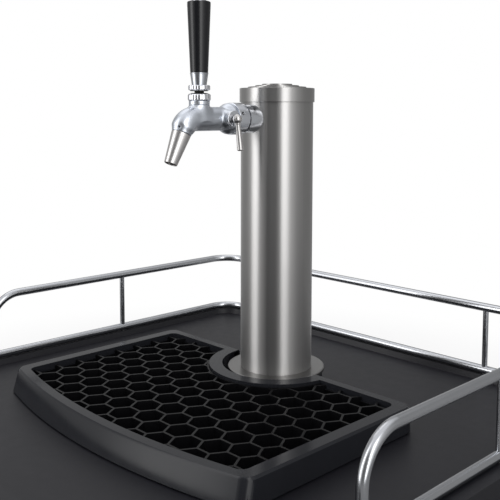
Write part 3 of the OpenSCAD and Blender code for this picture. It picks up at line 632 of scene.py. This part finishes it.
def tube_distance(p, sizes, start):
    """Distance to a bent tube along the beer's way, whose radius changes with the distance along it."""
    x, out, z = p[:, 0], -p[:, 1], p[:, 2]
    t = np.minimum(out, BEND_START)
    t = np.maximum(t, start)
    first = np.sqrt(x**2 + (out - t)**2 + z**2)
    turn = np.clip(np.arctan2(out - BEND_START, z + BEND_R), 0, BEND)
    second = np.sqrt(x**2 + (out - BEND_START - BEND_R*np.sin(turn))**2 + (z + BEND_R - BEND_R*np.cos(turn))**2)
    u = out - BEND_START - BEND_R*math.sin(BEND)
    v = z + BEND_R - BEND_R*math.cos(BEND)
    w = np.clip(u*math.cos(BEND) - v*math.sin(BEND), 0, CONE_LEN + TUBE_BEYOND)
    third = np.sqrt(x**2 + (u - w*math.cos(BEND))**2 + (v + w*math.sin(BEND))**2)
    way = np.stack([t, BEND_START + BEND_R*turn, BEND_START + BEND_R*BEND + w])
    far = np.stack([first, second, third])
    best = far.argmin(0)
    pick = np.arange(len(x))
    return far[best, pick] - eased(way[best, pick], sizes)


def body_field(p):
    """The faucet's casting: a bent barrel with a neck and a housing for the flow control, less its bores."""
    back = outs("faucet_washer")[1]
    front = outs("coupling_nut")[1]
    start = back - TUBE_BEHIND
    bend_end = BEND_START + BEND_R*BEND
    neck = (0, -neck_out, 0)
    housing = (0, -FLOW_OUT, 0)
    spout_axis = (0, math.sin(SPOUT_TILT), math.cos(SPOUT_TILT))
    up, right = (0, 0, 1), (1, 0, 0)

    sizes = [(front, ROOT_R), *((front + way, r) for way, r in SHOULDER), (front + SHOULDER_LEN, BARREL_R),
             (bend_end - 1, BARREL_R), (bend_end + CONE_LEN, SPOUT_TOP_R)]
    outside = tube_distance(p, sizes, start)
    outside = smooth_union(outside, rod_distance(p, neck, up, NECK_FOOT_R, NECK_R, 0, NECK_H, EDGE), NECK_BLEND)
    outside = smooth_union(outside, rod_distance(p, housing, right, HOUSING_FOOT_R, HOUSING_R, HOUSING_FROM,
                                                 HOUSING_X, HOUSING_EDGE), HOUSING_BLEND)
    outside = smooth_cut(outside, back + p[:, 1], EDGE)
    mouth = (p + np.array((0, JOINT_OUT, JOINT_DROP))) @ -np.array(spout_axis)
    outside = smooth_cut(outside, mouth + JOINT_GAP, MOUTH_EDGE)

    valve_end = BEND_START - VALVE_BORE_END
    bore = tube_distance(p, [(valve_end - 0.5, VALVE_BORE_R), (valve_end, BEER_R), (bend_end + CONE_LEN, BEER_R)],
                         start)
    vent_turn = Matrix.Rotation(VENT_TURN, 3, "X")
    vent_foot = Vector((0, -BEND_START, -BEND_R)) + vent_turn @ Vector((0, 0, BEND_R))
    vent_axis = vent_turn @ Matrix.Rotation(VENT_ROLL, 3, "Y") @ Vector(up)
    for centre, axis, r, low, high in (
            ((0, -JOINT_OUT, -JOINT_DROP), spout_axis, SPIGOT_R, -2, SPIGOT_LEN),
            (neck, up, NECK_BORE_R, NECK_BORE_FROM, NECK_BORE_FROM + BORE_BEYOND),
            (housing, right, HOUSING_BORE_R, HOUSING_X - HOUSING_BORE_LEN, HOUSING_X + BORE_BEYOND),
            (tuple(vent_foot), tuple(vent_axis), VENT_R, 0, BORE_BEYOND)):
        bore = np.minimum(bore, rod_distance(p, centre, axis, r, r, low, high, BORE_EDGE))
    return smooth_cut(outside, -bore, EDGE)


def make_faucet():
    back = outs("faucet_washer")[1]
    half = 17
    body = field_surface("faucet_casting", body_field, (-half, -JOINT_OUT - 11, -JOINT_DROP - 6),
                         (half, -back + 2, NECK_H + 2), CASTING_CELL, tap_place)
    base = tap_height/MM + NECK_H
    foot_r = NECK_RING_R - 0.7
    ring = turned("neck_ring", [(r, h, 0.25) for r, h in (
        (NECK_BORE_R, base - 0.6), (foot_r, base - 0.6), (foot_r, base + 0.3), (NECK_RING_R, base + 0.3),
        (NECK_RING_R, base + NECK_RING_H), (NECK_BORE_R, base + NECK_RING_H))], upright)
    hand_over(join(body, ring), "base", "faucet_body", "tap_chrome")


def make_spout():
    place = tap_place @ Matrix.Translation((0, -JOINT_OUT*MM, -JOINT_DROP*MM)) @ Matrix.Rotation(-SPOUT_TILT, 4, "X")
    joint = -0.1
    spout = turned("spout_cone", [(SPOUT_BORE_R, -SPOUT_LEN, 0.4), (SPOUT_TIP_R, -SPOUT_LEN, 0.55),
                                  (SPOUT_TOP_R, joint, 0.25), (SPIGOT_R, joint, 0.1), (SPIGOT_R, SPIGOT_LEN, 0.3),
                                  (SPOUT_BORE_R, SPIGOT_LEN, 0.3)], place)
    hand_over(even_normals(spout), "base", "spout", "tap_steel")


# nuts of the faucet
COUPLING_BORE_R = 14.25
COUPLING_HOLE_R = 11.45
COUPLING_LIP = 3.3
COUPLING_ROWS = 12
COUPLING_STEPS = 128
PIN_HOLE_R = 1.7
PIN_HOLE_FROM = 13.5
PIN_HOLE_TO = 18
PIN_HOLE_OUT = 62.8  # from the tower's axis
PIN_HOLE_TURNS = (20, 140, 260)
FLUTES = 16
FLUTE_DEPTH = 0.3
FLUTED_STEPS = 192
FLOW_COLLAR_R = 8.1
FLOW_STEM_R = 3.4
STUD_R = 4.8  # bore of the lever nut and the ferrule


def fluted(from_r):
    """Shallow flutes on all of a turned piece that is wider than from_r."""
    def shape(r, a):
        return r - FLUTE_DEPTH*(0.5 + 0.5*math.cos(FLUTES*a))**2 if r > from_r else r
    return shape


def drill(obj, tool):
    cut = obj.modifiers.new("hole", "BOOLEAN")
    cut.operation = "DIFFERENCE"
    cut.object = tool
    bpy.context.view_layer.update()
    shape = bpy.data.meshes.new_from_object(obj.evaluated_get(bpy.context.evaluated_depsgraph_get()))
    obj.modifiers.clear()
    obj.data = shape
    bpy.data.objects.remove(tool)


def make_nuts():
    r = radius_of("coupling_nut")
    near, far = outs("coupling_nut")
    inner = near + COUPLING_LIP
    side = [(r, near + (far - near)*k/COUPLING_ROWS, 0) for k in range(1, COUPLING_ROWS)]
    coupling = turned("coupling_ring", [(COUPLING_HOLE_R, near, 0.2), (r, near, 0.9), *side, (r, far, 0.8),
                                        (COUPLING_BORE_R, far, 0.2), (COUPLING_BORE_R, inner, 0.2),
                                        (COUPLING_HOLE_R, inner, 0.2)], along, steps=COUPLING_STEPS)
    for turn in PIN_HOLE_TURNS:
        place = (along @ Matrix.Translation((0, 0, PIN_HOLE_OUT*MM)) @ Matrix.Rotation(math.radians(turn), 4, "Z")
                 @ Matrix.Rotation(math.pi/2, 4, "Y"))
        drill(coupling, lathe("pin", [(0, PIN_HOLE_FROM), (PIN_HOLE_R, PIN_HOLE_FROM), (PIN_HOLE_R, PIN_HOLE_TO),
                                      (0, PIN_HOLE_TO)], place, steps=24))
    hand_over(even_normals(coupling), "base", "coupling_nut", "tap_chrome")

    low, high = heights("bonnet_nut")
    r = radius_of("bonnet_nut")
    bore, hole = 9.35, 7.3
    bonnet = turned("bonnet_ring", [(bore, low, 0.1), (r - 0.9, low, 0.3), (r, low + 1.2, 1.2), (r, high - 2.1, 1.2),
                                    (r - 0.6, high - 1.1, 0.8), (hole + 1, high, 0.3), (hole, high, 0.2),
                                    (hole, high - 2.6, 0.1), (bore, high - 3, 0.1)],
                    upright, steps=FLUTED_STEPS, shape=fluted(9.8))
    hand_over(even_normals(bonnet), "base", "bonnet_nut", "tap_chrome")

    low, high = heights("lever_nut")
    r = radius_of("lever_nut")
    nut = turned("lever_ring", [(STUD_R, low, 0.1), (r - 0.9, low, 0.4), (r, low + 0.9, 0.5), (r, high - 0.8, 0.5),
                                (r - 0.8, high, 0.4), (STUD_R, high, 0.1)],
                 upright, steps=FLUTED_STEPS, shape=fluted(8.8))
    hand_over(even_normals(nut), "tap_lever", "lever_nut", "tap_chrome")

    near, far = (c[0]/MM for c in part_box("flow_collar"))
    collar = turned("flow_ring", [(FLOW_STEM_R, near, 0.1), (FLOW_COLLAR_R, near, 0.2), (FLOW_COLLAR_R, far, 0.7),
                                  (FLOW_STEM_R, far, 0.2)], flow_place @ Matrix.Rotation(math.pi/2, 4, "Y"))
    hand_over(even_normals(collar), "base", "flow_collar", "tap_chrome")


def make_handle():
    low, high = heights("ferrule")
    foot_r, rim_r = 7.1, 8.8
    cone = turned("ferrule_cone", [(STUD_R, low, 0.1), (foot_r, low, 0.2), (rim_r - 0.25, high - 1.4, 0.3),
                                   (rim_r, high - 1.1, 0.2), (rim_r, high, 0.2), (STUD_R, high, 0.1)], upright)
    hand_over(even_normals(cone), "tap_lever", "ferrule", "tap_chrome")

    low, high = heights("handle")
    r = radius_of("handle")
    bore, bore_len = 6.45, 20
    seat, seat_depth = 6.95, 2  # for the button
    grip = turned("grip", [(bore, low, 0.1), (8.35, low, 0.3), (8.6, low + 0.5, 0.6), (r, high - 3.5, 6),
                           (r, high - 0.6, 0.9), (r - 1.2, high, 0.6), (7.6, high, 0.4), (seat, high - 0.6, 0.1),
                           (seat, high - seat_depth, 0.1), (0, high - seat_depth, 0), (0, low + bore_len, 0),
                           (bore, low + bore_len, 0.1)], upright)
    hand_over(even_normals(grip), "tap_lever", "handle", "grip_black")

    low, high = heights("handle_button")
    r = radius_of("handle_button")
    button = turned("button", [(0, low, 0), (r, low, 0.2), (r, high - 0.9, 0.5), (r - 1.1, high - 0.1, 0.8),
                               (0, high, 0)], upright, closed=False)
    hand_over(even_normals(button), "tap_lever", "handle_button", "tap_chrome")


def make_flow_lever():
    """The lever of the flow control: a ball on a stem, with a stick that hangs from it and a crank pin inside."""
    ball_r = 4.6
    ball_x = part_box("flow_lever")[1][0]/MM - ball_r
    stem_r = 2.85
    stem_from = 3
    arc = 24
    start = math.asin(stem_r/ball_r)
    angles = [start + (math.pi - start)*k/arc for k in range(arc)]
    knob = lathe("flow_knob", [(0, stem_from), (stem_r, stem_from),
                               *((ball_r*math.sin(a), ball_x - ball_r*math.cos(a)) for a in angles),
                               (0, ball_x + ball_r)], flow_place @ Matrix.Rotation(math.pi/2, 4, "Y"), steps=64)
    stick_tilt = math.radians(7.5)
    end, end_r, top_r = -31, 3.15, 2.4
    stick = turned("stick", [(0, end, 0), (end_r - 0.5, end, 0.9), (end_r, end + 1.2, 0.8),
                             (end_r - 0.1, end + 3.2, 2), (top_r, -9, 6), (top_r, -5.5, 2), (top_r + 0.4, -3.6, 0.3),
                             (0, -3, 0)],
                   flow_place @ Matrix.Translation((ball_x*MM, 0, 0)) @ Matrix.Rotation(stick_tilt, 4, "X"),
                   closed=False, steps=64)
    pin_r, pin_off, pin_turn = 1.2, 1.5, math.radians(45)
    pin = lathe("pin", [(0, -2.5), (pin_r, -2.5), (pin_r, 4), (0, 4)],
                flow_place @ Matrix.Rotation(pin_turn, 4, "X") @ Matrix.Translation((0, 0, -pin_off*MM))
                @ Matrix.Rotation(math.pi/2, 4, "Y"), steps=32)
    hand_over(even_normals(join(knob, stick, pin)), "flow_lever_body", "flow_lever", "tap_steel")


def make_cap():
    """The tower's cap: a disc with a skirt and three rings stepped up towards the middle."""
    low, high = heights("tower_cap")
    outer = radius_of("tower_cap")
    inner = outer - 1
    base = heights("tower_column")[1]
    rim = base + 1.6
    ring_shares = (0.78, 0.585, 0.405)
    rise = (high - rim)/len(ring_shares)
    corners = [(inner, low, 0), (outer, low, 0.3), (outer, rim, 0.45)]
    for k, share in enumerate(ring_shares):
        corners += [(share*outer, rim + rise*k, 0.2), (share*outer, rim + rise*(k + 1), 0.35)]
    corners += [(0, high, 0), (0, base, 0), (inner, base, 0.2), (inner, low, 0)]
    cap = turned("cap_disc", corners, Matrix.Translation((tower_axis.x, tower_axis.y, 0)), closed=False, steps=160)
    hand_over(even_normals(cap), "cap", "tower_cap", "tower_steel")


# CAD nodes that only get rounded edges: width and segments of the rounding, least angle in degrees, body and slot
ROUNDED = {
    "worktop": (1.2, 3, 35, "base", "black_top"),
    "drip_tray": (0.9, 3, 35, "tray", "tray_plastic"),
    "drip_grid": (0.35, 2, 50, "grid", "grid_plastic"),
    "shank_collar": (0.4, 3, 50, "base", "tap_chrome"),
}


def make_rounded():
    for node, (edge, segments, angle, body, slot) in ROUNDED.items():
        hand_over(copy_node(node, edge, segments, angle), body, node, slot)


make_camera()
make_world()
make_floor()
for lamp in LAMPS:
    make_lamp(*lamp)
dress_cad()
make_faucet()
make_spout()
make_nuts()
make_handle()
make_flow_lever()
make_cap()
make_rounded()

bpy.context.scene.view_settings.view_transform = "Standard"
